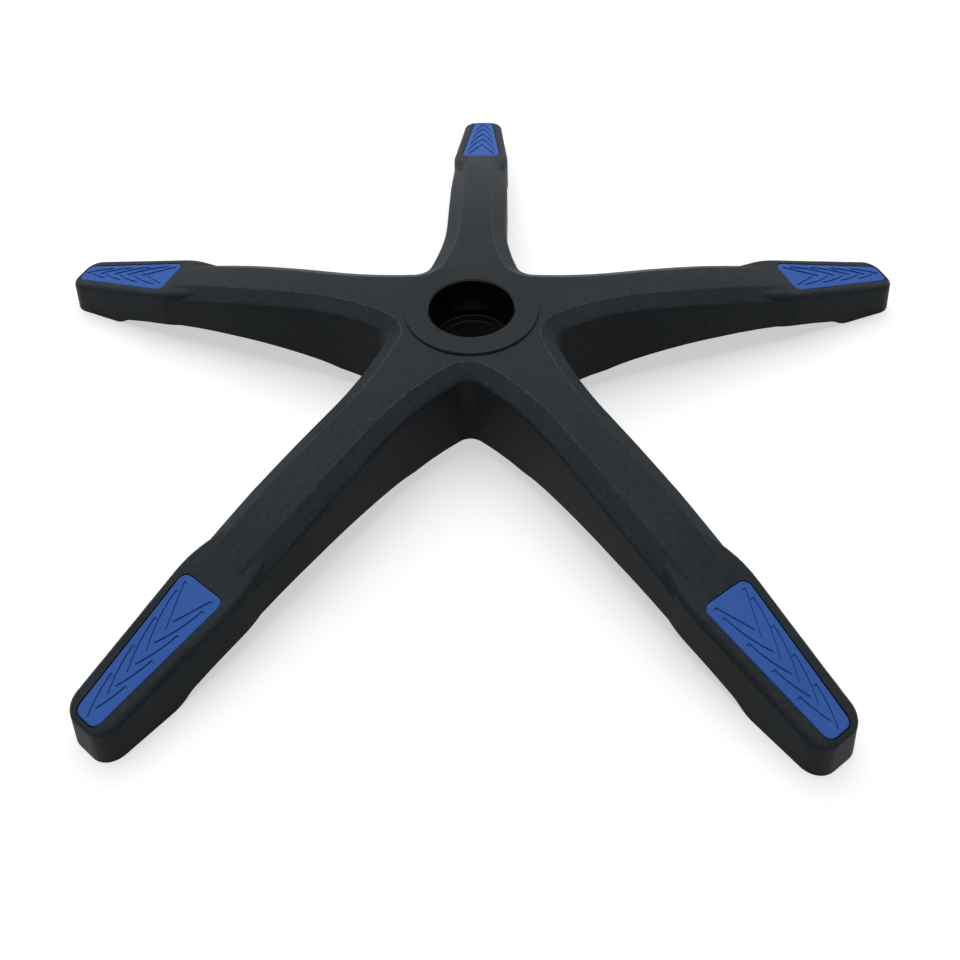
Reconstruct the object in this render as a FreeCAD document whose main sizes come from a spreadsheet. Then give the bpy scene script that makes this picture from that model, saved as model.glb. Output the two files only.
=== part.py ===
import FreeCAD, Part
import math
import os

import Sketcher
from FreeCAD import Placement, Rotation, Vector

# Five star base of an office chair: a moulded nylon star with a clip-in tread pad near the tip of each arm.
# The origin is on the hub axis, at the shoulder inside the gas lift socket. +Z is up, and +Y is along one arm.

doc = FreeCAD.newDocument("five_star_base")
sheet = doc.addObject("Spreadsheet::Sheet", "dims")

# Driving sizes in millimetres, angles in degrees
SIZES = {
    # Hub and gas lift socket
    "hub_top": 26.5,
    "hub_height": 54.5,
    "ring_radius": 39.4,
    "ring_rise": 1.3,
    "ring_edge": 0.5,
    "socket_radius": 25.2,
    "socket_taper": 1,
    "mouth_chamfer": 0.8,
    "spindle_radius": 18.7,
    "core_wall": 4.8,
    "core_groove_depth": 15,
    "core_groove_width": 3.6,
    # Arms, with widths at the height of the hub's top
    "web_radius": 50,
    "web_round": 10,
    "flare_radius": 100,
    "flare_half": 19.4,
    "waist_radius": 160,
    "waist_half": 19.8,
    "arm_end_radius": 214,
    "arm_end_half": 18.7,
    "plateau_radius": 36,
    "crown_reach": 245,
    "crown_drop": 38.1,
    "crown_bend": 900,
    "belly_radius": 85,
    "belly_bend": 370,
    "draft": 1.4,
    "bevel_width": 9.7,
    "bevel_depth": 5.5,
    "bevel_round": 3,
    # Feet at the arm ends
    "stand_height": 66,
    "foot_rear_radius": 172,
    "foot_rear_half": 13,
    "foot_rear_rise": 4.5,
    "foot_rear_bend": 300,
    "shoulder_radius": 207,
    "shoulder_half": 20.2,
    "shoulder_sweep": 60,
    "platform_drop": 27.9,
    "platform_slope": 11.3,
    "tip_radius": 280.3,
    "tip_half": 13.4,
    "tip_lean": 15,
    "tip_corner": 11,
    "foot_edge": 3.5,
    "heel_radius": 244,
    "heel_rise": 6,
    "heel_run": 16,
    "heel_bend": 20,
    # Shell and ribs of the open underside
    "wall": 3.6,
    "roof": 4,
    "pocket_floor": 2.4,
    "rib": 2.6,
    "first_rib": 88,
    "rib_pitch": 40,
    # Caster sockets
    "caster_radius": 264,
    "stem_radius": 5.5,
    "stem_depth": 22,
    "stem_wall": 4.5,
    # Tread pads
    "pad_inner": 213,
    "pad_outer": 289.8,
    "pad_inner_half": 14.6,
    "pad_outer_half": 7.5,
    "pad_corner": 4.5,
    "pad_thick": 2.4,
    "pad_gap": 0.4,
    "pad_edge": 0.8,
    "chevron_first_apex": 26.6,
    "chevron_pitch": 12.5,
    "chevron_first_start": 3.5,
    "chevron_first_lean": 25,
    "chevron_reach": 2.7,
    "chevron_margin": 3,
    "chevron_width": 2.3,
    "chevron_rise": 5.2,
    "chevron_bend": 73,
    "chevron_depth": 0.7,
    "leg_inner": 226,
    "leg_outer": 246,
    "leg_inner_across": 8,
    "leg_outer_across": 6,
    "leg_width": 5,
    "leg_thick": 1.8,
    "leg_play": 0.3,
    "barb_reach": 0.9,
    "barb_height": 2,
}
ARMS = 5
CHEVRONS = 5
CROSS_RIBS = 4
ARM_STEP = 360 / ARMS
FIRST_ARM = 90
# Slack when edges are picked by their place
EDGE_SLACK = 0.5
# Upward part of a face's normal: more than this on a top face, and less than this on a wall
TOP_LEAN = 0.8
WALL_LEAN = 0.3
# Least angle at an edge that counts as a crease
CREASE = 12
for row, (alias, size) in enumerate(SIZES.items(), start=1):
    sheet.set(f"A{row}", alias)
    sheet.set(f"B{row}", str(size))
    sheet.setAlias(f"B{row}", alias)
doc.recompute()


def value(formula):
    return float(sheet.evalExpression(str(formula)))


def at(angle, along, across):
    """Plan coordinates of a point on an arm, as formulas: along the arm's line and across it."""
    turn = f"{angle} deg"
    x = f"({along}) * cos({turn}) - ({across}) * sin({turn})"
    y = f"({along}) * sin({turn}) + ({across}) * cos({turn})"
    return x, y


def sketch_on(body, name, role, height=None):
    sketch = body.newObject("Sketcher::SketchObject", name)
    plane = next(p for p in body.Origin.OriginFeatures if p.Role == role)
    sketch.AttachmentSupport = [(plane, "")]
    sketch.MapMode = "FlatFace"
    if height is not None:
        sketch.setExpression("AttachmentOffset.Base.z", height)
    return sketch


def outline(sketch, corners):
    """A closed outline through corners (x, y), or (x, y, radius) where an arc leads to the next corner.

    A positive radius bulges to the right of the way along, and each size stays tied to its formula.
    """
    points = [Vector(value(c[0]), value(c[1]), 0) for c in corners]
    ends = []
    for i, corner in enumerate(corners):
        start, stop = points[i], points[(i + 1) % len(points)]
        if len(corner) == 2:
            edge = sketch.addGeometry(Part.LineSegment(start, stop), False)
            ends.append((edge, 1, 2))
            continue
        chord = stop - start
        radius = abs(value(corner[2]))
        side = Vector(chord.y, -chord.x, 0).normalize() * math.copysign(1, value(corner[2]))
        sagitta = radius - math.sqrt(radius**2 - (chord.Length / 2) ** 2)
        middle = (start + stop) * 0.5 + side * sagitta
        edge = sketch.addGeometry(Part.Arc(start, middle, stop), False)
        near, far = (sketch.getPoint(edge, end).distanceToPoint(start) for end in (1, 2))
        ends.append((edge, 1, 2) if near < far else (edge, 2, 1))
        bend = sketch.addConstraint(Sketcher.Constraint("Radius", edge, radius))
        sketch.renameConstraint(bend, f"bend_{edge}")
        sketch.setExpression(f"Constraints.bend_{edge}", f"abs({corner[2]})")
    for i, (edge, first, last) in enumerate(ends):
        following = ends[(i + 1) % len(ends)]
        sketch.addConstraint(Sketcher.Constraint("Coincident", edge, last, following[0], following[1]))
        for kind, formula in (("DistanceX", corners[i][0]), ("DistanceY", corners[i][1])):
            place = sketch.addConstraint(Sketcher.Constraint(kind, -1, 1, edge, first, value(formula)))
            sketch.renameConstraint(place, f"{kind}_{edge}")
            sketch.setExpression(f"Constraints.{kind}_{edge}", str(formula))


def arm_frame(point):
    """Distance of a point along and across the nearest arm."""
    angle = math.degrees(math.atan2(point.y, point.x)) - FIRST_ARM
    off = math.radians((angle + ARM_STEP / 2) % ARM_STEP - ARM_STEP / 2)
    reach = math.hypot(point.x, point.y)
    return reach * math.cos(off), reach * math.sin(off)


def middle_of(edge):
    return edge.valueAt((edge.FirstParameter + edge.LastParameter) / 2)


def edges_where(feature, test):
    return [f"Edge{i}" for i, edge in enumerate(feature.Shape.Edges, start=1) if test(edge)]


def upright(edge):
    return edge.Vertexes[0].Point.z - edge.Vertexes[-1].Point.z


# Star of arms and hub: a drafted plan outline, with a crowned top turned about the hub axis
def star_outline(body, name, height, spread):
    """Plan outline of the arms at a height, with every wall moved out by spread."""
    plan = sketch_on(body, name, "XY_Plane", height)
    half = ARM_STEP / 2
    # Each arm's wall leaves the straight in an arc that ends at the crotch between two arms
    crotch = f"(dims.web_radius + ({spread}) / cos({half} deg))"
    flare = f"(dims.flare_half + {spread})"
    run = f"(dims.flare_radius - {crotch} * cos({half} deg))"
    rise = f"({crotch} * sin({half} deg) - {flare})"
    bend = f"({run} ^ 2 + {rise} ^ 2) / (2 * {rise})"
    corners = []
    for i in range(ARMS):
        angle = FIRST_ARM + i * ARM_STEP
        corners.append(at(angle, "dims.flare_radius", f"-{flare}"))
        corners.append(at(angle, "dims.waist_radius", f"-dims.waist_half - ({spread})"))
        corners.append(at(angle, "dims.arm_end_radius", f"-dims.arm_end_half - ({spread})"))
        corners.append(at(angle, "dims.arm_end_radius", f"dims.arm_end_half + ({spread})"))
        corners.append(at(angle, "dims.waist_radius", f"dims.waist_half + ({spread})"))
        corners.append((*at(angle, "dims.flare_radius", flare), f"-{bend}"))
        corners.append((*at(angle + half, crotch, "0"), f"-{bend}"))
    outline(plan, corners)
    return plan


def star_body(name, spread):
    """The arms and hub as one drafted solid, with its walls moved out by spread."""
    body = doc.addObject("PartDesign::Body", name)
    upper = star_outline(body, f"{name}_upper", "dims.hub_top", spread)
    flare = f"{spread} + dims.stand_height * tan(dims.draft * 1 deg)"
    lower = star_outline(body, f"{name}_lower", "dims.hub_top - dims.stand_height", flare)
    prism = body.newObject("PartDesign::AdditiveLoft", f"{name}_prism")
    prism.Profile = upper
    prism.Sections = [lower]
    prism.Ruled = True
    doc.recompute()
    root = value("dims.waist_radius") / 2
    crotches = edges_where(prism, lambda e: abs(upright(e)) > 1 and math.hypot(*middle_of(e)[:2]) < root)
    webs = body.newObject("PartDesign::Fillet", f"{name}_webs")
    webs.Base = (prism, crotches)
    webs.setExpression("Radius", f"dims.web_round - ({spread})")
    return body


def crown_cut(body, name, sink):
    """Turns off everything above the arms' crowned top, lowered by sink."""
    side = sketch_on(body, f"{name}_crown_line", "YZ_Plane")
    plateau = f"dims.hub_top - dims.ring_rise - ({sink})"
    clear = "dims.hub_top + dims.ring_radius"
    outline(side, [
        ("0", plateau),
        ("dims.plateau_radius", plateau, "-dims.crown_bend"),
        ("dims.crown_reach", f"dims.hub_top - dims.crown_drop - ({sink})"),
        ("dims.crown_reach", clear),
        ("0", clear),
    ])
    crown = body.newObject("PartDesign::Groove", f"{name}_crown")
    crown.Profile = side
    crown.ReferenceAxis = (side, ["V_Axis"])
    crown.Angle = 360
    return crown


def lean(shape, edge):
    """How far the faces at an edge's middle look upwards, least first."""
    mid = middle_of(edge)
    faces = shape.ancestorsOfType(edge, Part.Face)
    return sorted(face.normalAt(*face.Surface.parameter(mid)).z for face in faces)


def top_edges(feature, least, most):
    """Edges where the top meets a wall, between two distances along the arm."""
    shape = feature.Shape

    def picked(edge):
        looks = lean(shape, edge)
        meets = len(looks) == 2 and abs(looks[0]) < WALL_LEAN and looks[1] > TOP_LEAN
        return meets and least < arm_frame(middle_of(edge))[0] < most

    return edges_where(feature, picked)


arms = star_body("arms", "0")
arms_crown = crown_cut(arms, "arms", "0")
doc.recompute()


def in_web(edge, middle):
    """Whether an edge's middle lies between two arms, round the web at an angle."""
    mid = middle_of(edge)
    off = math.degrees(math.atan2(mid.y, mid.x)) - middle
    return abs((off + 180) % 360 - 180) < ARM_STEP / 2


def starts_on_top(shape, name):
    """Whether the first of an edge's two faces is the top, which then takes a bevel's first size."""
    edge = shape.getElement(name)
    face = shape.ancestorsOfType(edge, Part.Face)[0]
    return face.normalAt(*face.Surface.parameter(middle_of(edge))).z > TOP_LEAN


def crease(shape, edge):
    """Angle in degrees between the two faces at an edge's middle."""
    mid = middle_of(edge)
    faces = shape.ancestorsOfType(edge, Part.Face)
    first, second = (face.normalAt(*face.Surface.parameter(mid)) for face in faces)
    return math.degrees(first.getAngle(second))


# A wide, shallow bevel runs along one arm, round the web and out along the next arm
arms_bevelled = arms_crown
ARM_RUN = value("dims.arm_end_radius") - EDGE_SLACK
for i in range(ARMS):
    middle = FIRST_ARM + (i + 0.5) * ARM_STEP
    shape = arms_bevelled.Shape
    all_round = top_edges(arms_bevelled, 0, ARM_RUN)
    along_web = [name for name in all_round if in_web(shape.getElement(name), middle)]
    sizes = ["dims.bevel_width", "dims.bevel_depth"]
    if not starts_on_top(shape, along_web[0]):
        sizes.reverse()
    bevel = arms.newObject("PartDesign::Chamfer", f"arms_bevel_{i + 1}")
    bevel.Base = (arms_bevelled, along_web)
    bevel.ChamferType = "Two distances"
    bevel.setExpression("Size", sizes[0])
    bevel.setExpression("Size2", sizes[1])
    doc.recompute()
    arms_bevelled = bevel


def on_bevel_side(edge):
    """The bevel's upper and lower edges."""
    shape = arms_bevelled.Shape
    looks = lean(shape, edge)
    outer = len(looks) == 2 and looks[1] > WALL_LEAN and arm_frame(middle_of(edge))[0] < ARM_RUN
    return outer and crease(shape, edge) > CREASE


arms_soft = arms.newObject("PartDesign::Fillet", "arms_soft_edges")
arms_soft.Base = (arms_bevelled, edges_where(arms_bevelled, on_bevel_side))
arms_soft.setExpression("Radius", "dims.bevel_round")
doc.recompute()


# Feet: a flat sloping platform at the end of each arm, drafted like the arm, with a rounded tip
def foot_outline(body, name, height, spread, kick):
    plan = sketch_on(body, name, "XY_Plane", height)
    stations = [
        ("dims.foot_rear_radius", "dims.foot_rear_half"),
        ("dims.shoulder_radius", "dims.shoulder_half"),
        (f"dims.tip_radius + ({spread}) + ({kick})", "dims.tip_half"),
    ]
    right = [at(FIRST_ARM, along, f"-({half}) - ({spread})") for along, half in stations]
    left = [at(FIRST_ARM, along, f"({half}) + ({spread})") for along, half in reversed(stations)]
    outline(plan, right + left)
    return plan


def stands_between(edge, least, most):
    """An upright edge whose middle is between two distances along the first arm."""
    return abs(upright(edge)) > EDGE_SLACK and value(least) < middle_of(edge).y < value(most)


def foot_body(name, spread, sink):
    """One foot along the first arm, with its walls moved out by spread and its platform lowered by sink."""
    body = doc.addObject("PartDesign::Body", name)
    upper = foot_outline(body, f"{name}_upper", "dims.hub_top", spread, "0")
    flare = f"{spread} + dims.stand_height * tan(dims.draft * 1 deg)"
    kick = "dims.stand_height * (tan(dims.tip_lean * 1 deg) - tan(dims.draft * 1 deg))"
    lower = foot_outline(body, f"{name}_lower", "dims.hub_top - dims.stand_height", flare, kick)
    prism = body.newObject("PartDesign::AdditiveLoft", f"{name}_prism")
    prism.Profile = upper
    prism.Sections = [lower]
    prism.Ruled = True
    doc.recompute()
    behind = "(dims.foot_rear_radius + dims.shoulder_radius) / 2"
    halfway = "(dims.shoulder_radius + dims.tip_radius) / 2"
    beyond = "dims.tip_radius + dims.stand_height"
    corners = edges_where(prism, lambda e: stands_between(e, halfway, beyond))
    tip = body.newObject("PartDesign::Fillet", f"{name}_tip")
    tip.Base = (prism, corners)
    tip.setExpression("Radius", f"dims.tip_corner + ({spread})")
    doc.recompute()
    flanks = edges_where(tip, lambda e: stands_between(e, behind, halfway))
    sweep = body.newObject("PartDesign::Fillet", f"{name}_sweep")
    sweep.Base = (tip, flanks)
    sweep.setExpression("Radius", f"dims.shoulder_sweep + ({spread})")
    side = sketch_on(body, f"{name}_side", "YZ_Plane")
    shoulder = f"dims.hub_top - dims.platform_drop - ({sink})"
    outline(side, [
        ("dims.foot_rear_radius", f"{shoulder} + dims.foot_rear_rise", "-dims.foot_rear_bend"),
        ("dims.shoulder_radius", shoulder),
        (beyond, f"{shoulder} - ({beyond} - dims.shoulder_radius) * tan(dims.platform_slope * 1 deg)"),
        (beyond, "dims.hub_top + dims.ring_radius"),
        ("dims.foot_rear_radius", "dims.hub_top + dims.ring_radius"),
    ])
    platform = body.newObject("PartDesign::Pocket", f"{name}_platform")
    platform.Profile = side
    platform.Type = "ThroughAll"
    platform.SideType = "Symmetric"
    doc.recompute()
    return body, platform


def arm_copies(body):
    """A body drawn along the first arm, and linked copies of it along the others."""
    bodies = [body]
    for i in range(1, ARMS):
        copy = doc.addObject("App::Link", f"{body.Name}_on_arm_{i + 1}")
        copy.LinkedObject = body
        copy.Placement = Placement(Vector(), Rotation(Vector(0, 0, 1), i * ARM_STEP))
        bodies.append(copy)
    return bodies


foot, platform = foot_body("foot", "0", "0")
foot_rim = foot.newObject("PartDesign::Fillet", "foot_rim")
BEHIND_RIM = value("dims.foot_rear_radius") + EDGE_SLACK
foot_rim.Base = (platform, top_edges(platform, BEHIND_RIM, math.inf))
foot_rim.setExpression("Radius", "dims.foot_edge")
doc.recompute()


def fused(name, shapes):
    union = doc.addObject("Part::MultiFuse", name)
    union.Shapes = shapes
    union.Refine = False
    return union


def cut(name, base, tool):
    result = doc.addObject("Part::Cut", name)
    result.Base = base
    result.Tool = tool
    result.Refine = False
    return result


def upright_round(name, radius, bottom, top, along="0", angle=0, top_radius=None):
    """An upright cylinder, or a cone with its own radius at the top, standing along an arm's line."""
    solid = doc.addObject("Part::Cone" if top_radius else "Part::Cylinder", name)
    if top_radius:
        solid.setExpression("Radius1", radius)
        solid.setExpression("Radius2", top_radius)
    else:
        solid.setExpression("Radius", radius)
    solid.setExpression("Height", f"({top}) - ({bottom})")
    x, y = at(angle, along, "0")
    solid.setExpression("Placement.Base.x", x)
    solid.setExpression("Placement.Base.y", y)
    solid.setExpression("Placement.Base.z", bottom)
    return solid


FLOOR = "(dims.hub_top - dims.stand_height)"
HUB_BOTTOM = "(dims.hub_top - dims.hub_height)"
TOP = "dims.hub_top"

# Raised ring round the socket's mouth, with a fine edge
RING_LINE = "dims.hub_top - dims.ring_edge"
ring = upright_round("ring", "dims.ring_radius", "dims.hub_top - dims.ring_rise - dims.roof", RING_LINE)
RING_TOP = "dims.ring_radius - dims.ring_edge"
ring_edge = upright_round("ring_edge", "dims.ring_radius", RING_LINE, TOP, top_radius=RING_TOP)

# Underside of hub and arms, turned about the hub axis: level under the hub, then falling to each foot's heel
belly = doc.addObject("PartDesign::Body", "belly")
belly_line = sketch_on(belly, "belly_line", "YZ_Plane")
heel_start = f"({FLOOR} + dims.heel_rise)"
outline(belly_line, [
    ("0", HUB_BOTTOM),
    ("dims.belly_radius", HUB_BOTTOM, "-dims.belly_bend"),
    ("dims.heel_radius", heel_start, "-dims.heel_bend"),
    ("dims.heel_radius + dims.heel_run / 2", f"({heel_start} + {FLOOR}) / 2", "dims.heel_bend"),
    ("dims.heel_radius + dims.heel_run", FLOOR),
    ("dims.heel_radius + dims.heel_run", f"{FLOOR} - dims.heel_run"),
    ("0", f"{FLOOR} - dims.heel_run"),
])
belly_turn = belly.newObject("PartDesign::Revolution", "belly_turn")
belly_turn.Profile = belly_line
belly_turn.ReferenceAxis = (belly_line, ["V_Axis"])
belly_turn.Angle = 360

# Cavity of the open underside: the same star and feet, in by the wall and down by the roof, less core and ribs
CORE = "(dims.socket_radius + dims.core_wall)"
ARM_SPAN = "2 * (dims.waist_half + dims.stand_height * tan(dims.draft * 1 deg))"
hollow = star_body("hollow", "-dims.wall")
crown_cut(hollow, "hollow", "dims.roof")
foot_hollow = foot_body("foot_hollow", "-dims.wall", "dims.pad_thick + dims.pocket_floor")[0]
ribs = [upright_round("core", CORE, FLOOR, TOP)]


def rib(name, angle, along, length, thick):
    """An upright plate, centred across the line at angle."""
    plate = doc.addObject("Part::Box", name)
    plate.setExpression("Length", length)
    plate.setExpression("Width", thick)
    plate.setExpression("Height", "dims.stand_height")
    x, y = at(angle, along, f"-({thick}) / 2")
    plate.Placement = Placement(Vector(), Rotation(Vector(0, 0, 1), angle))
    plate.setExpression("Placement.Base.x", x)
    plate.setExpression("Placement.Base.y", y)
    plate.setExpression("Placement.Base.z", FLOOR)
    ribs.append(plate)


for i in range(ARMS):
    angle = FIRST_ARM + i * ARM_STEP
    rib(f"spine_{i + 1}", angle, "0", "dims.caster_radius", "dims.rib")
    rib(f"web_rib_{i + 1}", angle + ARM_STEP / 2, "0", "dims.waist_radius / 2", "dims.rib")
    for k in range(CROSS_RIBS):
        place = f"dims.first_rib + {k} * dims.rib_pitch"
        rib(f"cross_rib_{i + 1}_{k + 1}", angle, place, "dims.rib", ARM_SPAN)
    ribs.append(upright_round(f"stem_tube_{i + 1}", "dims.stem_radius + dims.stem_wall", FLOOR, TOP,
                              "dims.caster_radius", angle))
cavity = cut("cavity", fused("hollows", [hollow] + arm_copies(foot_hollow)), fused("ribs", ribs))

# Gas lift socket and spindle hole, with the hub's core relieved from below, and the caster stem sockets
MOUTH = "dims.hub_top - dims.mouth_chamfer"
MOUTH_RADIUS = "dims.socket_radius + dims.mouth_chamfer"
GROOVE_INNER = "dims.spindle_radius + dims.wall"
groove = cut(
    "core_groove",
    upright_round("groove_outer", f"{GROOVE_INNER} + dims.core_groove_width", FLOOR,
                  f"{HUB_BOTTOM} + dims.core_groove_depth"),
    upright_round("groove_inner", GROOVE_INNER, FLOOR, TOP),
)
bores = [
    upright_round("socket", "dims.socket_radius - dims.socket_taper", "0", TOP, top_radius="dims.socket_radius"),
    upright_round("mouth", "dims.socket_radius", MOUTH, TOP, top_radius=MOUTH_RADIUS),
    upright_round("spindle_hole", "dims.spindle_radius", FLOOR, "0"),
    groove,
]
for i in range(ARMS):
    bores.append(upright_round(f"stem_{i + 1}", "dims.stem_radius", FLOOR, f"{FLOOR} + dims.stem_depth",
                               "dims.caster_radius", FIRST_ARM + i * ARM_STEP))

# Tread pad, drawn on the sloping platform of the first foot: a plate with chevron channels and four snap legs
SLOPE = "dims.platform_slope * 1 deg"
SHOULDER = "(dims.hub_top - dims.platform_drop)"


def down_slope(radius):
    """Distance from the shoulder down the platform, for a distance from the hub axis."""
    return f"(({radius} - dims.shoulder_radius) / cos({SLOPE}))"


def platform_sketch(body, name, lift):
    """A sketch lifted off the platform: x across the arm and y down the slope from the shoulder."""
    sketch = sketch_on(body, name, "XY_Plane")
    sketch.AttachmentOffset = Placement(Vector(), Rotation(Vector(1, 0, 0), -value("dims.platform_slope")))
    sketch.setExpression("AttachmentOffset.Rotation.Angle", f"-{SLOPE}")
    sketch.setExpression("AttachmentOffset.Base.y", f"dims.shoulder_radius + ({lift}) * sin({SLOPE})")
    sketch.setExpression("AttachmentOffset.Base.z", f"{SHOULDER} + ({lift}) * cos({SLOPE})")
    return sketch


def cross_sketch(body, name, radius):
    """A sketch square to the platform and to the arm: x across the arm and y up from the platform."""
    sketch = sketch_on(body, name, "XZ_Plane")
    sketch.AttachmentOffset = Placement(Vector(), Rotation(Vector(1, 0, 0), -value("dims.platform_slope")))
    sketch.setExpression("AttachmentOffset.Rotation.Angle", f"-{SLOPE}")
    fall = f"({radius} - dims.shoulder_radius) * tan({SLOPE})"
    sketch.setExpression("AttachmentOffset.Base.y", f"{SHOULDER} - {fall}")
    sketch.setExpression("AttachmentOffset.Base.z", f"-({radius})")
    return sketch


def extrusion(body, name, sketch, length, down=False, kind="PartDesign::Pad"):
    feature = body.newObject(kind, name)
    feature.Profile = sketch
    feature.setExpression("Length", length)
    feature.Reversed = down
    doc.recompute()
    return feature


def pad_plate(body, name, spread, top):
    """The pad's tapered plate with rounded corners, from the pocket's floor up, larger by spread all round."""
    plan = platform_sketch(body, f"{name}_plan", "-dims.pad_thick")
    near = f"{down_slope('dims.pad_inner')} - ({spread})"
    far = f"{down_slope('dims.pad_outer')} + ({spread})"
    outline(plan, [
        (f"-dims.pad_inner_half - ({spread})", near),
        (f"dims.pad_inner_half + ({spread})", near),
        (f"dims.pad_outer_half + ({spread})", far),
        (f"-dims.pad_outer_half - ({spread})", far),
    ])
    plate = extrusion(body, f"{name}_plate", plan, f"dims.pad_thick + ({top})")
    rounded = body.newObject("PartDesign::Fillet", f"{name}_corners")
    rounded.Base = (plate, edges_where(plate, lambda e: abs(e.tangentAt(e.FirstParameter).z) > TOP_LEAN))
    rounded.setExpression("Radius", f"dims.pad_corner + ({spread})")
    doc.recompute()
    return rounded


def pad_half(run):
    """Half width of the pad at a distance from its inner edge."""
    length = f"({down_slope('dims.pad_outer')} - {down_slope('dims.pad_inner')})"
    return f"(dims.pad_inner_half - (dims.pad_inner_half - dims.pad_outer_half) * ({run}) / {length})"


def chevron(sketch, number):
    """One V-shaped channel pointing to the tip. The first is straight, and the others sweep in from the sides."""
    apex = f"(dims.chevron_first_apex + {number} * dims.chevron_pitch)"
    if number == 0:
        start = "dims.chevron_first_start"
        reach = f"(({apex} - {start}) * tan(dims.chevron_first_lean * 1 deg))"
        bend = ()
    else:
        start = f"({apex} - dims.chevron_reach * {pad_half(apex)})"
        reach = f"({pad_half(start)} - dims.chevron_margin)"
        bend = ("dims.chevron_bend",)
    inner_bend = tuple(f"-{b}" for b in bend)
    edge = down_slope("dims.pad_inner")
    begin = f"{edge} + {start}"
    outer = f"{edge} + {apex}"
    inner = f"{outer} - dims.chevron_rise"
    outline(sketch, [
        (reach, begin, *bend),
        ("0", outer, *bend),
        (f"-{reach}", begin),
        (f"-({reach} - dims.chevron_width)", begin, *inner_bend),
        ("0", inner, *inner_bend),
        (f"{reach} - dims.chevron_width", begin),
    ])


pad = doc.addObject("PartDesign::Body", "foot_pad_1")
plate = pad_plate(pad, "pad", "0", "0")
soft = pad.newObject("PartDesign::Fillet", "pad_soft_edge")
soft.Base = (plate, top_edges(plate, 0, math.inf))
soft.setExpression("Radius", "dims.pad_edge")
doc.recompute()
channels = platform_sketch(pad, "pad_chevrons", "0")
for number in range(CHEVRONS):
    chevron(channels, number)
extrusion(pad, "pad_channels", channels, "dims.chevron_depth", kind="PartDesign::Pocket")

# Snap legs under the pad, and the pocket in the foot with a slot for each leg
pocket = doc.addObject("PartDesign::Body", "pocket")
pad_plate(pocket, "pocket", "dims.pad_gap", "dims.wall")
slots = platform_sketch(pocket, "pocket_slot_plan", "-dims.pad_thick")
LEG_UNDER = "-(dims.pad_thick + dims.pocket_floor + dims.leg_play)"
for place in ("inner", "outer"):
    radius = f"dims.leg_{place}"
    across = f"dims.leg_{place}_across"
    profile = cross_sketch(pad, f"pad_legs_{place}", radius)
    for side in ("", "-"):
        inside = f"{side}({across} - dims.leg_thick / 2)"
        outside = f"{side}({across} + dims.leg_thick / 2)"
        hook = f"{side}({across} + dims.leg_thick / 2 + dims.barb_reach)"
        outline(profile, [
            (inside, "-dims.pad_thick"),
            (outside, "-dims.pad_thick"),
            (outside, LEG_UNDER),
            (hook, LEG_UNDER),
            (outside, f"{LEG_UNDER} - dims.barb_height"),
            (inside, f"{LEG_UNDER} - dims.barb_height"),
        ])
        near = f"{down_slope(radius)} - dims.leg_width / 2 - dims.leg_play"
        far = f"{down_slope(radius)} + dims.leg_width / 2 + dims.leg_play"
        outline(slots, [
            (f"{inside} - {side}dims.leg_play", near),
            (f"{outside} + {side}dims.leg_play", near),
            (f"{outside} + {side}dims.leg_play", far),
            (f"{inside} - {side}dims.leg_play", far),
        ])
    pair = extrusion(pad, f"{profile.Name}_pair", profile, "dims.leg_width")
    pair.SideType = "Symmetric"
extrusion(pocket, "pocket_slots", slots, "dims.pocket_floor + dims.barb_height", down=True)

# The finished star
outer = fused("outer", [arms, ring, ring_edge] + arm_copies(foot))
lifted = cut("lifted", outer, belly)
shelled = cut("shelled", lifted, cavity)
bored = cut("bored", shelled, fused("bore_tools", bores))
star_base = cut("star_base", bored, fused("pocket_tools", arm_copies(pocket)))
pads = arm_copies(pad)
for i, item in enumerate(pads, start=1):
    item.Label = f"foot_pad_{i}"

doc.recompute()
for item in doc.Objects:
    if "Invalid" in item.State or "Error" in item.State:
        raise RuntimeError(f"{item.Name} did not build: {item.getStatusString()}")
os.makedirs("parts", exist_ok=True)
for item in [star_base] + pads:
    shape = Part.getShape(item)
    if shape.isNull() or not shape.isValid() or len(shape.Solids) != 1:
        raise RuntimeError(f"{item.Label} is not one sound solid")
    shape.exportStep(f"parts/{item.Label}.step")
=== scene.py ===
import math

import bpy
from mathutils import Matrix, Vector


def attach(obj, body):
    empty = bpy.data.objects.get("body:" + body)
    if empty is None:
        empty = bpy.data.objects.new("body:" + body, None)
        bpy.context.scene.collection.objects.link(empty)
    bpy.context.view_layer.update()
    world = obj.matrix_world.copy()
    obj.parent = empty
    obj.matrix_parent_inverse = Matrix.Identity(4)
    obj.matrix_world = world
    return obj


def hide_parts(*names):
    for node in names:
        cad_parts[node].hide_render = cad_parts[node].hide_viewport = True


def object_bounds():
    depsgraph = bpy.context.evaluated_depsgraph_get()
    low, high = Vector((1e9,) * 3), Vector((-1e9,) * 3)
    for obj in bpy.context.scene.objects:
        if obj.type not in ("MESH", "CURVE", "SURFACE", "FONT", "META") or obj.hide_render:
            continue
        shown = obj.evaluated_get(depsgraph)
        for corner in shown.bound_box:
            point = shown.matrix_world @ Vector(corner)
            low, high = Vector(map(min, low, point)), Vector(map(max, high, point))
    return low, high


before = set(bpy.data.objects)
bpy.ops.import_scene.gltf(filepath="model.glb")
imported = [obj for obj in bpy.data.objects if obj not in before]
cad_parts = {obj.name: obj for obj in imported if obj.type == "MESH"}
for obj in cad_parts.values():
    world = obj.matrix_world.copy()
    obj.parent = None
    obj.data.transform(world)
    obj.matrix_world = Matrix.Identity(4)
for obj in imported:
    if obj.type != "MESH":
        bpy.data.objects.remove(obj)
cad_low, cad_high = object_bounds()

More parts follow.
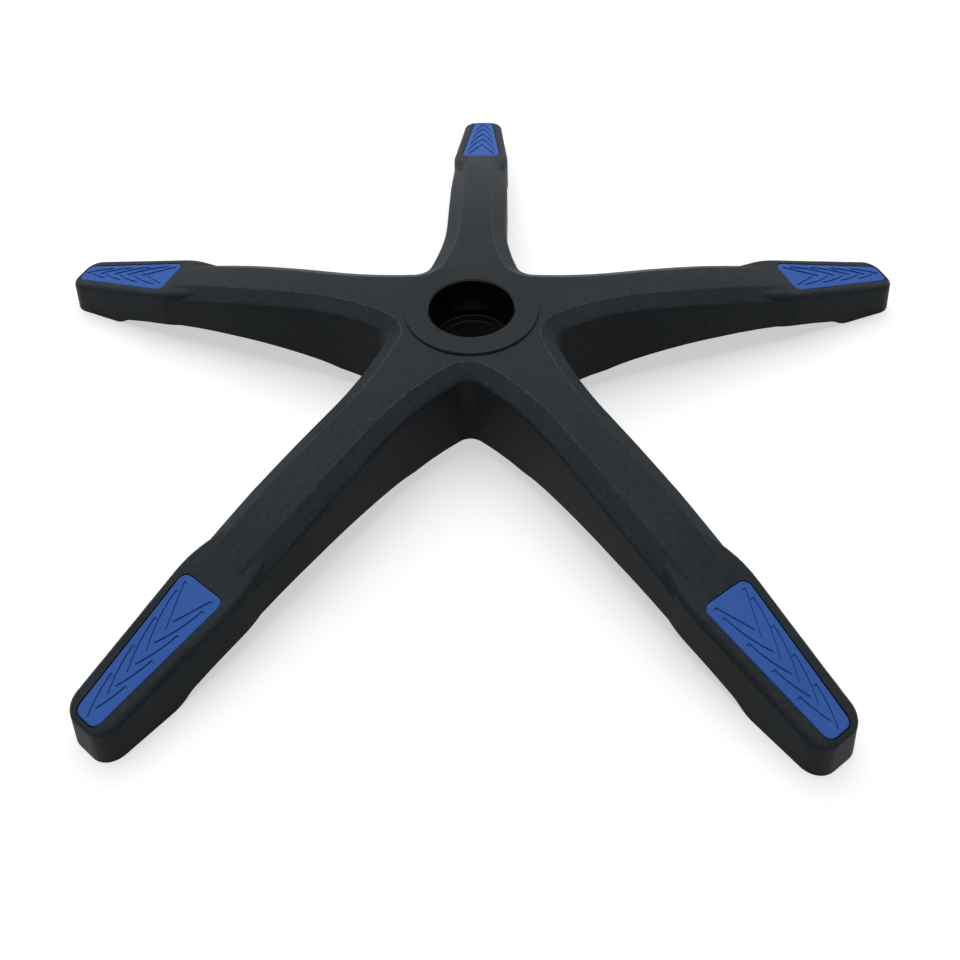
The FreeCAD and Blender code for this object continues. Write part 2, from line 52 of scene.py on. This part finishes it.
# Star: hub, five arms and feet in one injection moulding of glass-filled nylon, ribbed on its open underside.
# The mould gives it soft edges and a fine spark-eroded grain, and nothing is painted or polished afterwards.
MM = 0.001
SOFT_SHADE = math.radians(28)
WELD = 0.005 * MM
PICK_SLACK = 0.05 * MM
ROUND_STEPS = 3


def finished_copy(node, name, materials, rounded_circles=()):
    """A piece that shows a solid of the frame, with facets joined, some circles rounded and soft shading."""
    piece = bpy.data.objects.new(name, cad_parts[node].data.copy())
    bpy.context.scene.collection.objects.link(piece)
    bpy.ops.object.select_all(action="DESELECT")
    piece.select_set(True)
    bpy.context.view_layer.objects.active = piece
    bpy.ops.mesh.customdata_custom_splitnormals_clear()
    bpy.ops.object.mode_set(mode="EDIT")
    bpy.ops.mesh.select_all(action="SELECT")
    bpy.ops.mesh.remove_doubles(threshold=WELD)
    for radius, height, width in rounded_circles:
        bpy.ops.mesh.select_mode(type="EDGE")
        bpy.ops.mesh.select_all(action="DESELECT")
        bpy.ops.object.mode_set(mode="OBJECT")
        for edge in piece.data.edges:
            ends = [piece.data.vertices[index].co for index in edge.vertices]
            edge.select = all(
                abs(end.xy.length - radius) < PICK_SLACK and abs(end.z - height) < PICK_SLACK for end in ends
            )
        bpy.ops.object.mode_set(mode="EDIT")
        bpy.ops.mesh.bevel(offset=width, segments=ROUND_STEPS, affect="EDGES")
    bpy.ops.object.mode_set(mode="OBJECT")
    bpy.ops.object.shade_smooth_by_angle(angle=SOFT_SHADE, keep_sharp_edges=False)
    bpy.ops.object.modifier_add(type="WEIGHTED_NORMAL")
    piece.modifiers[0].keep_sharp = True
    bpy.ops.object.modifier_apply(modifier=piece.modifiers[0].name)
    piece.data.materials.clear()
    for material in materials:
        piece.data.materials.append(material)
    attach(piece, "root")
    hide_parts(node)
    return piece


def bare_material(name):
    """A material with an empty node tree."""
    material = bpy.data.materials.new(name)
    material.use_nodes = True
    material.node_tree.nodes.clear()
    return material


def linear(colour):
    """An sRGB hex colour as linear RGBA."""
    parts = [int(colour[i : i + 2], 16) / 255 for i in (1, 3, 5)]
    return [*(c / 12.92 if c <= 0.04045 else ((c + 0.055) / 1.055) ** 2.4 for c in parts), 1]


def add(tree, kind, inputs, **settings):
    """A node with its settings, and its inputs as values or links."""
    node = tree.nodes.new(kind)
    for name, value in settings.items():
        setattr(node, name, value)
    for name, value in inputs.items():
        if isinstance(value, bpy.types.NodeSocket):
            tree.links.new(value, node.inputs[name])
        else:
            node.inputs[name].default_value = value
    return node


# Black nylon off a spark-eroded mould: a dark satin skin, mottled by the glass fibre, with a fine grain.
# It has a few short pale scuffs, and the creases near the hub carry a painted highlight, broken into patches.
# The real grain is about 0.2 mm wide, and is drawn coarser to show.
GRAIN = 0.9 * MM
PEEL = 3 * MM
MOTTLE = 2.2 * MM
FLOW = 35 * MM
nylon = bare_material("black_glass_filled_nylon")
tree = nylon.node_tree
coordinates = add(tree, "ShaderNodeTexCoord", {})
place = coordinates.outputs["Object"]
grain = add(tree, "ShaderNodeTexNoise", {"Vector": place, "Scale": 1 / GRAIN, "Detail": 3, "Roughness": 0.6})
peel = add(tree, "ShaderNodeTexNoise", {"Vector": place, "Scale": 1 / PEEL, "Detail": 2})
mottle = add(tree, "ShaderNodeTexNoise", {"Vector": place, "Scale": 1 / MOTTLE, "Detail": 3})
flow = add(tree, "ShaderNodeTexNoise", {"Vector": place, "Scale": 1 / FLOW, "Detail": 4, "Roughness": 0.55})

# Scuffs are the peaks of a drawn-out pattern, and come only in some places
SCUFF = (7 * MM, 0.5 * MM, 3 * MM)
SCUFF_START = 0.7
SCUFF_FULL = 0.8
SCUFF_SPREAD = 24 * MM
HANDLED_START = 0.52
HANDLED_FULL = 0.66
streak = add(tree, "ShaderNodeMapping", {"Vector": place, "Scale": [1 / size for size in SCUFF]})
scratch = add(tree, "ShaderNodeTexNoise", {"Vector": streak.outputs[0], "Scale": 1, "Detail": 1})
handled = add(tree, "ShaderNodeTexNoise", {"Vector": place, "Scale": 1 / SCUFF_SPREAD, "Detail": 1})
thin = add(tree, "ShaderNodeMapRange", {
    "Value": scratch.outputs["Fac"], "From Min": SCUFF_START, "From Max": SCUFF_FULL,
})
where = add(tree, "ShaderNodeMapRange", {
    "Value": handled.outputs["Fac"], "From Min": HANDLED_START, "From Max": HANDLED_FULL,
})
scuffed = add(tree, "ShaderNodeMath", {0: thin.outputs[0], 1: where.outputs[0]}, operation="MULTIPLY")

# A crease faces up less than the top beside it and more than the bevel, which picks it out for a painted
# highlight that fades away from the hub
TOP_UPRIGHT = 0.99
CREASE_UPRIGHT_MOST = 0.94
CREASE_UPRIGHT_LEAST = 0.92
BEVEL_UPRIGHT = 0.872
HIGHLIGHT_START = 70 * MM
HIGHLIGHT_REACH = 190 * MM
PATCH_START = 0.25
PATCH_FULL = 0.6
HIGHLIGHT_SHARE = 0.7
SCUFF_AND_HIGHLIGHT_STRENGTH = 0.45
upright = add(tree, "ShaderNodeSeparateXYZ", {"Vector": coordinates.outputs["Normal"]}).outputs["Z"]
above_bevel = add(tree, "ShaderNodeMapRange", {
    "Value": upright, "From Min": BEVEL_UPRIGHT, "From Max": CREASE_UPRIGHT_LEAST,
}).outputs[0]
below_top = add(tree, "ShaderNodeMapRange", {
    "Value": upright, "From Min": TOP_UPRIGHT, "From Max": CREASE_UPRIGHT_MOST,
}).outputs[0]
crease = add(tree, "ShaderNodeMath", {0: above_bevel, 1: below_top}, operation="MULTIPLY")
patchy = add(tree, "ShaderNodeMapRange", {
    "Value": mottle.outputs["Fac"], "From Min": PATCH_START, "From Max": PATCH_FULL, "To Max": HIGHLIGHT_SHARE,
})
reach = add(tree, "ShaderNodeVectorMath", {0: place}, operation="LENGTH")
near_hub = add(tree, "ShaderNodeMapRange", {
    "Value": reach.outputs["Value"], "From Min": HIGHLIGHT_REACH, "From Max": HIGHLIGHT_START,
})
ridge = add(tree, "ShaderNodeMath", {0: crease.outputs[0], 1: near_hub.outputs[0]}, operation="MULTIPLY")
# The painted highlight on the creases near the hub, broken into patches
painted_crease_highlight = add(tree, "ShaderNodeMath", {0: ridge.outputs[0], 1: patchy.outputs[0]}, operation="MULTIPLY")
scuffs_and_painted_highlight = add(tree, "ShaderNodeMath", {0: scuffed.outputs[0], 1: painted_crease_highlight.outputs[0]}, operation="MAXIMUM")
scuff_and_highlight_mix = add(tree, "ShaderNodeMath", {0: scuffs_and_painted_highlight.outputs[0], 1: SCUFF_AND_HIGHLIGHT_STRENGTH}, operation="MULTIPLY")

# The tone and the gloss drift with the flow of the melt, and the two bumps are its peel and the grain
NYLON_DARK = linear("#272b2e")
NYLON_PALE = linear("#31363a")
SCUFF_AND_HIGHLIGHT_GREY = linear("#6a7074")
NYLON_IOR = 1.53
NYLON_SHEEN = 0.04
SATIN_LOW = 0.44
SATIN_HIGH = 0.54
FLOW_LOW = 0.3
FLOW_HIGH = 0.7
MOTTLE_SHARE = 0.5
BLOTCH_LOW = 0.35
BLOTCH_HIGH = 0.65
PEEL_DEPTH = 0.07 * MM
PEEL_STRENGTH = 0.3
GRAIN_DEPTH = 0.09 * MM
GRAIN_STRENGTH = 0.6
gloss = add(tree, "ShaderNodeMapRange", {
    "Value": flow.outputs["Fac"], "From Min": FLOW_LOW, "From Max": FLOW_HIGH,
    "To Min": SATIN_LOW, "To Max": SATIN_HIGH,
})
blotch = add(tree, "ShaderNodeMix", {0: MOTTLE_SHARE, 2: flow.outputs["Fac"], 3: mottle.outputs["Fac"]})
spread = add(tree, "ShaderNodeMapRange", {
    "Value": blotch.outputs[0], "From Min": BLOTCH_LOW, "From Max": BLOTCH_HIGH,
})
tone = add(tree, "ShaderNodeMix", {
    "Factor": spread.outputs[0], "A": NYLON_DARK, "B": NYLON_PALE,
}, data_type="RGBA")
# The scuff grey is mixed in both for the real scuffs and for the painted crease highlight
skin_tone = add(tree, "ShaderNodeMix", {
    "Factor": scuff_and_highlight_mix.outputs[0], "A": tone.outputs["Result"], "B": SCUFF_AND_HIGHLIGHT_GREY,
}, data_type="RGBA")
wave = add(tree, "ShaderNodeBump", {
    "Height": peel.outputs["Fac"], "Strength": PEEL_STRENGTH, "Distance": PEEL_DEPTH,
})
bump = add(tree, "ShaderNodeBump", {
    "Height": grain.outputs["Fac"], "Strength": GRAIN_STRENGTH, "Distance": GRAIN_DEPTH,
    "Normal": wave.outputs["Normal"],
})
skin = add(tree, "ShaderNodeBsdfPrincipled", {
    "Base Color": skin_tone.outputs["Result"], "Roughness": gloss.outputs["Result"], "IOR": NYLON_IOR,
    "Specular IOR Level": NYLON_SHEEN, "Normal": bump.outputs["Normal"],
})
add(tree, "ShaderNodeOutputMaterial", {"Surface": skin.outputs["BSDF"]})

# The lift socket comes off a polished core pin: the same nylon, but smooth and glossy,
# so that the edges of its shoulder glint in the hole; its far darker colour is painted shade deep in the
# hole.
CORE_SHADED_DARK = linear("#08090a")
CORE_SHADED_PALE = linear("#101214")
CORE_SHEEN = 0.2
CORE_GLOSS_LOW = 0.18
CORE_GLOSS_HIGH = 0.3
core_nylon = bare_material("polished_shaded_core_nylon")
tree = core_nylon.node_tree
place = add(tree, "ShaderNodeTexCoord", {}).outputs["Object"]
drawn = add(tree, "ShaderNodeTexNoise", {"Vector": place, "Scale": 1 / PEEL, "Detail": 3})
gloss = add(tree, "ShaderNodeMapRange", {
    "Value": drawn.outputs["Fac"], "To Min": CORE_GLOSS_LOW, "To Max": CORE_GLOSS_HIGH,
})
tone = add(tree, "ShaderNodeMix", {
    "Factor": drawn.outputs["Fac"], "A": CORE_SHADED_DARK, "B": CORE_SHADED_PALE,
}, data_type="RGBA")
skin = add(tree, "ShaderNodeBsdfPrincipled", {
    "Base Color": tone.outputs["Result"], "Roughness": gloss.outputs["Result"], "IOR": NYLON_IOR,
    "Specular IOR Level": CORE_SHEEN,
})
add(tree, "ShaderNodeOutputMaterial", {"Surface": skin.outputs["BSDF"]})

# The socket's shoulder lies at height 0, and its two edges are rounded on the shown copy
SPINDLE_RADIUS = 18.7 * MM
SHOULDER_RADIUS = 24.2 * MM
SHOULDER_HEIGHT = 0
MOUTH_RADIUS = 26 * MM
CORE_ROUND = 0.6 * MM
shoulder_edges = [(radius, SHOULDER_HEIGHT, CORE_ROUND) for radius in (SPINDLE_RADIUS, SHOULDER_RADIUS)]
star = finished_copy("star_base", "star_moulding", [nylon, core_nylon], shoulder_edges)
# Faces inside the socket take the core nylon, with its painted shade
for face in star.data.polygons:
    widest = max(star.data.vertices[index].co.xy.length for index in face.vertices)
    if widest < MOUTH_RADIUS + PICK_SLACK and face.center.z > SHOULDER_HEIGHT - CORE_ROUND:
        face.material_index = star.data.materials.find(core_nylon.name)

# Tread pads: five blue polypropylene mouldings, each clipped into a pocket in a foot by its snap legs.
# Chevron channels in the top give a shoe some grip, and the moulded rim is slightly rounded.
# The plastic is coloured right through, so it shows an even matt blue with a faint grain.
PAD_DARK = linear("#385fa9")
PAD_PALE = linear("#3f66b2")
PAD_ROUGHNESS = 0.5
PAD_IOR = 1.49
PAD_SHEEN = 0.04
PAD_GRAIN_DEPTH = 0.04 * MM
PAD_GRAIN_STRENGTH = 0.2
polypropylene = bare_material("blue_polypropylene")
tree = polypropylene.node_tree
place = add(tree, "ShaderNodeTexCoord", {}).outputs["Object"]
grain = add(tree, "ShaderNodeTexNoise", {"Vector": place, "Scale": 1 / GRAIN, "Detail": 2})
flow = add(tree, "ShaderNodeTexNoise", {"Vector": place, "Scale": 1 / FLOW, "Detail": 3})
tone = add(tree, "ShaderNodeMix", {
    "Factor": flow.outputs["Fac"], "A": PAD_DARK, "B": PAD_PALE,
}, data_type="RGBA")
bump = add(tree, "ShaderNodeBump", {
    "Height": grain.outputs["Fac"], "Strength": PAD_GRAIN_STRENGTH, "Distance": PAD_GRAIN_DEPTH,
})
skin = add(tree, "ShaderNodeBsdfPrincipled", {
    "Base Color": tone.outputs["Result"], "Roughness": PAD_ROUGHNESS, "IOR": PAD_IOR,
    "Specular IOR Level": PAD_SHEEN, "Normal": bump.outputs["Normal"],
})
add(tree, "ShaderNodeOutputMaterial", {"Surface": skin.outputs["BSDF"]})
for node in sorted(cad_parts):
    if node.startswith("foot_pad"):
        finished_copy(node, node.replace("foot_pad", "tread_pad"), [polypropylene])

# Studio: a sheet of white paper under the feet, lit from above and behind by one large softbox.
# The paper keeps the star's soft shadow and whitens away from it, into a white surround.
# From below it is clear, so that the underside shows.
FLOOR_WIDTH = 16
FLOOR_GAP = 0.1 * MM
PAPER_GREY = linear("#cacaca")
PAPER_LIFT = 0.57
SHADOW_REACH = 0.6
WHITE_REACH = 2.4
SURROUND_WHITE = linear("#ffffff")
SURROUND_LIGHT = 0.08
SOFTBOX_PLACE = Vector((-0.25, 1.15, 3.1))
SOFTBOX_WIDTH = 3.6
SOFTBOX_POWER = 124


def looked_at(tree):
    """A factor that is 1 for camera, glossy and transmission rays, and 0 for the rest."""
    ray = add(tree, "ShaderNodeLightPath", {})
    seen = ray.outputs["Is Camera Ray"]
    for kind in ("Is Glossy Ray", "Is Transmission Ray"):
        seen = add(tree, "ShaderNodeMath", {0: seen, 1: ray.outputs[kind]}, operation="MAXIMUM").outputs[0]
    return seen


bpy.ops.object.select_all(action="DESELECT")
bpy.ops.mesh.primitive_plane_add(size=FLOOR_WIDTH, location=(0, 0, cad_low.z - FLOOR_GAP))
floor = bpy.context.active_object
floor.name = "studio_floor"
paper = bare_material("white_paper")
tree = paper.node_tree
place = add(tree, "ShaderNodeTexCoord", {}).outputs["Object"]
reach = add(tree, "ShaderNodeVectorMath", {0: place}, operation="LENGTH")
lift = add(tree, "ShaderNodeMapRange", {
    "Value": reach.outputs["Value"], "From Min": SHADOW_REACH, "From Max": WHITE_REACH,
    "To Min": PAPER_LIFT, "To Max": 1,
})
whitening = add(tree, "ShaderNodeMath", {0: looked_at(tree), 1: lift.outputs[0]}, operation="MULTIPLY")
matt = add(tree, "ShaderNodeBsdfDiffuse", {"Color": PAPER_GREY})
glow = add(tree, "ShaderNodeEmission", {"Strength": whitening.outputs[0]})
both = add(tree, "ShaderNodeAddShader", {0: matt.outputs[0], 1: glow.outputs[0]})
clear = add(tree, "ShaderNodeBsdfTransparent", {})
from_below = add(tree, "ShaderNodeNewGeometry", {}).outputs["Backfacing"]
sheet = add(tree, "ShaderNodeMixShader", {"Fac": from_below, 1: both.outputs[0], 2: clear.outputs[0]})
add(tree, "ShaderNodeOutputMaterial", {"Surface": sheet.outputs[0]})
floor.data.materials.append(paper)

world = bpy.data.worlds.new("studio_surround")
bpy.context.scene.world = world
world.use_nodes = True
tree = world.node_tree
tree.nodes.clear()
light = add(tree, "ShaderNodeBackground", {"Color": SURROUND_WHITE, "Strength": SURROUND_LIGHT})
white = add(tree, "ShaderNodeBackground", {"Color": SURROUND_WHITE, "Strength": 1})
pick = add(tree, "ShaderNodeMixShader", {"Fac": looked_at(tree), 1: light.outputs[0], 2: white.outputs[0]})
add(tree, "ShaderNodeOutputWorld", {"Surface": pick.outputs[0]})

bpy.ops.object.light_add(type="AREA", location=SOFTBOX_PLACE)
softbox = bpy.context.active_object
softbox.name = "back_softbox"
softbox.data.shape = "SQUARE"
softbox.data.size = SOFTBOX_WIDTH
softbox.data.energy = SOFTBOX_POWER
softbox.rotation_euler = (-SOFTBOX_PLACE).to_track_quat("-Z", "Y").to_euler()

# Camera: above the front arms, at the photograph's viewing angle.
# Its place, turn and focal length were fitted to the photograph's outlines.
CAMERA_PLACE = Vector((20.13, -376.82, 340.97)) * MM
AZIMUTH = math.radians(2.74)
ELEVATION = math.radians(51.65)
ROLL = math.radians(-1.69)
FOCAL_PIXELS = 825.5
FRAME_PIXELS = 960
SENSOR_WIDTH = 36
NEAREST = 0.01
back = Vector((
    math.sin(AZIMUTH) * math.cos(ELEVATION),
    -math.cos(AZIMUTH) * math.cos(ELEVATION),
    math.sin(ELEVATION),
))
level = Vector((math.cos(AZIMUTH), math.sin(AZIMUTH), 0))
rise = back.cross(level)
right = math.cos(ROLL) * level + math.sin(ROLL) * rise
up = math.cos(ROLL) * rise - math.sin(ROLL) * level
turn = Matrix((right, up, back)).transposed().to_4x4()
bpy.ops.object.camera_add()
camera = bpy.context.active_object
camera.data.sensor_width = SENSOR_WIDTH
camera.data.lens = FOCAL_PIXELS / FRAME_PIXELS * SENSOR_WIDTH
camera.data.clip_start = NEAREST
camera.matrix_world = Matrix.Translation(CAMERA_PLACE) @ turn
bpy.context.scene.camera = camera
bpy.context.scene.view_settings.view_transform = "Standard"

bpy.context.view_layer.update()
